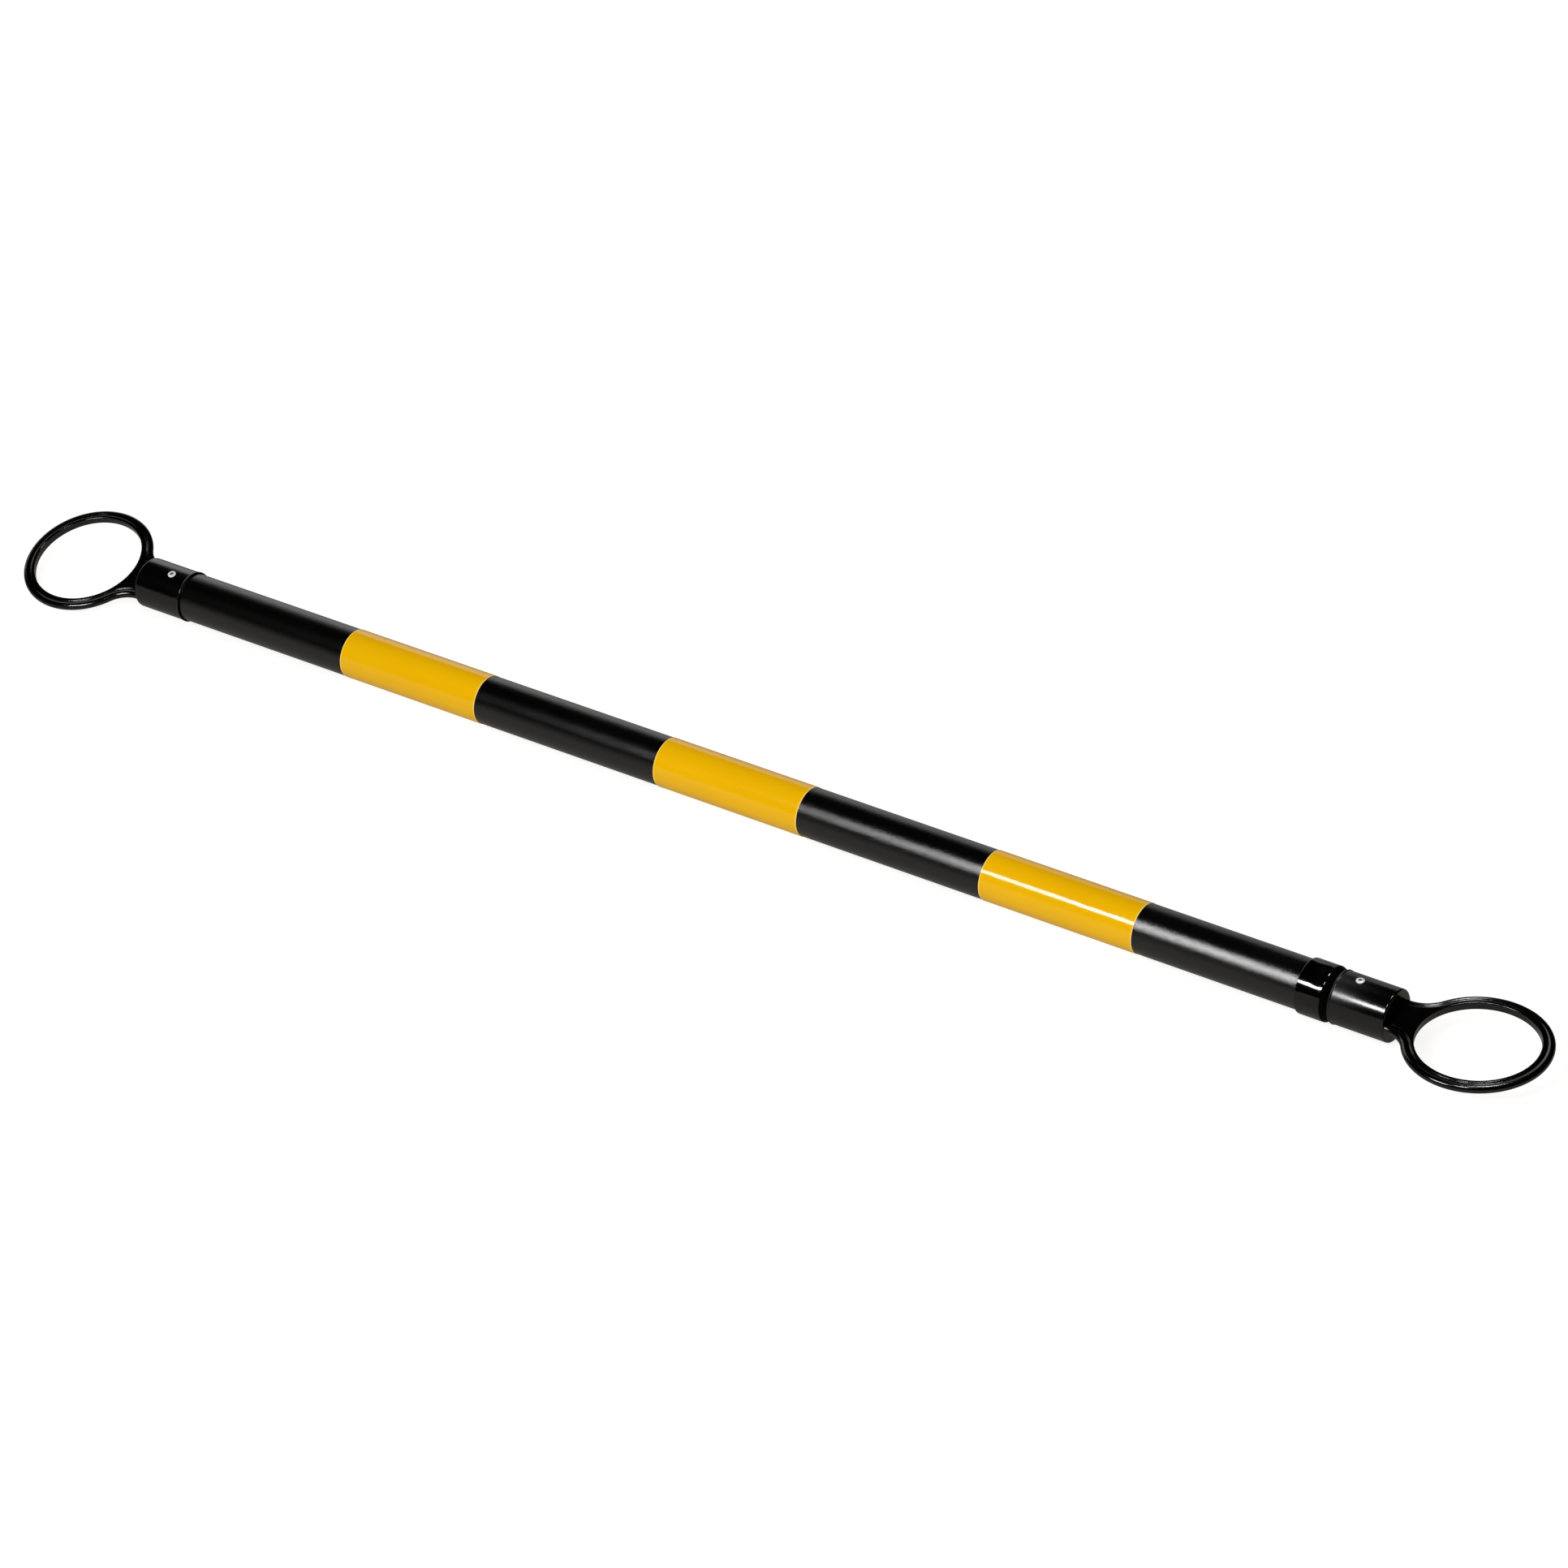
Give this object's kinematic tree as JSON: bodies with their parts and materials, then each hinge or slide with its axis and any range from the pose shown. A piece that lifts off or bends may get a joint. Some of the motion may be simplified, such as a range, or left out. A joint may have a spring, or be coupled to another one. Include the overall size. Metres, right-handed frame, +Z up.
{
  "type": "telescopic cone bar",
  "caption": "Telescopic barrier bar with ring ends that drop over traffic cones: an inner tube with a swivelling ring pulls out of a black tube with yellow bands to span the gap.",
  "frame": {"origin": "on the ground under the bar's axis, halfway between the two ring holes", "axes": "+X along the bar towards the sliding ring, +Z up, +Y across the bar"},
  "size_m": [1.361, 0.106, 0.0417],
  "materials": {
    "tube_black": "satin extruded plastic",
    "cap_black": "glossy moulded plastic",
    "collar_black": "very glossy soft vinyl",
    "band_yellow": "glossy reflective film",
    "rivet_aluminium": "bright blind rivet",
    "stem_steel": "broken steel stem",
    "nylon_white": "natural nylon"
  },
  "bodies": {
    "outer": {"outer_tube": "tube_black", "fixed_ring_cap": "cap_black", "fixed_rivet": "rivet_aluminium", "fixed_rivet_stem": "stem_steel", "end_collar": "collar_black", "band_1": "band_yellow", "band_2": "band_yellow", "band_3": "band_yellow"},
    "guide": {"guide_bush": "nylon_white"},
    "inner": {"inner_tube": "tube_black", "inner_end_plug": "nylon_white", "sliding_ring_cap": "cap_black", "sliding_rivet": "rivet_aluminium", "sliding_rivet_stem": "stem_steel"}
  },
  "joints": [
    {"name": "bar_slide", "type": "slide", "parent": "outer", "child": "guide", "axis": [1, 0, 0], "range_m": [0, 0.9]},
    {"name": "ring_swivel", "type": "hinge", "parent": "guide", "child": "inner", "pos_m": [0, 0, 0.02085], "axis": [1, 0, 0], "continuous": true}
  ]
}
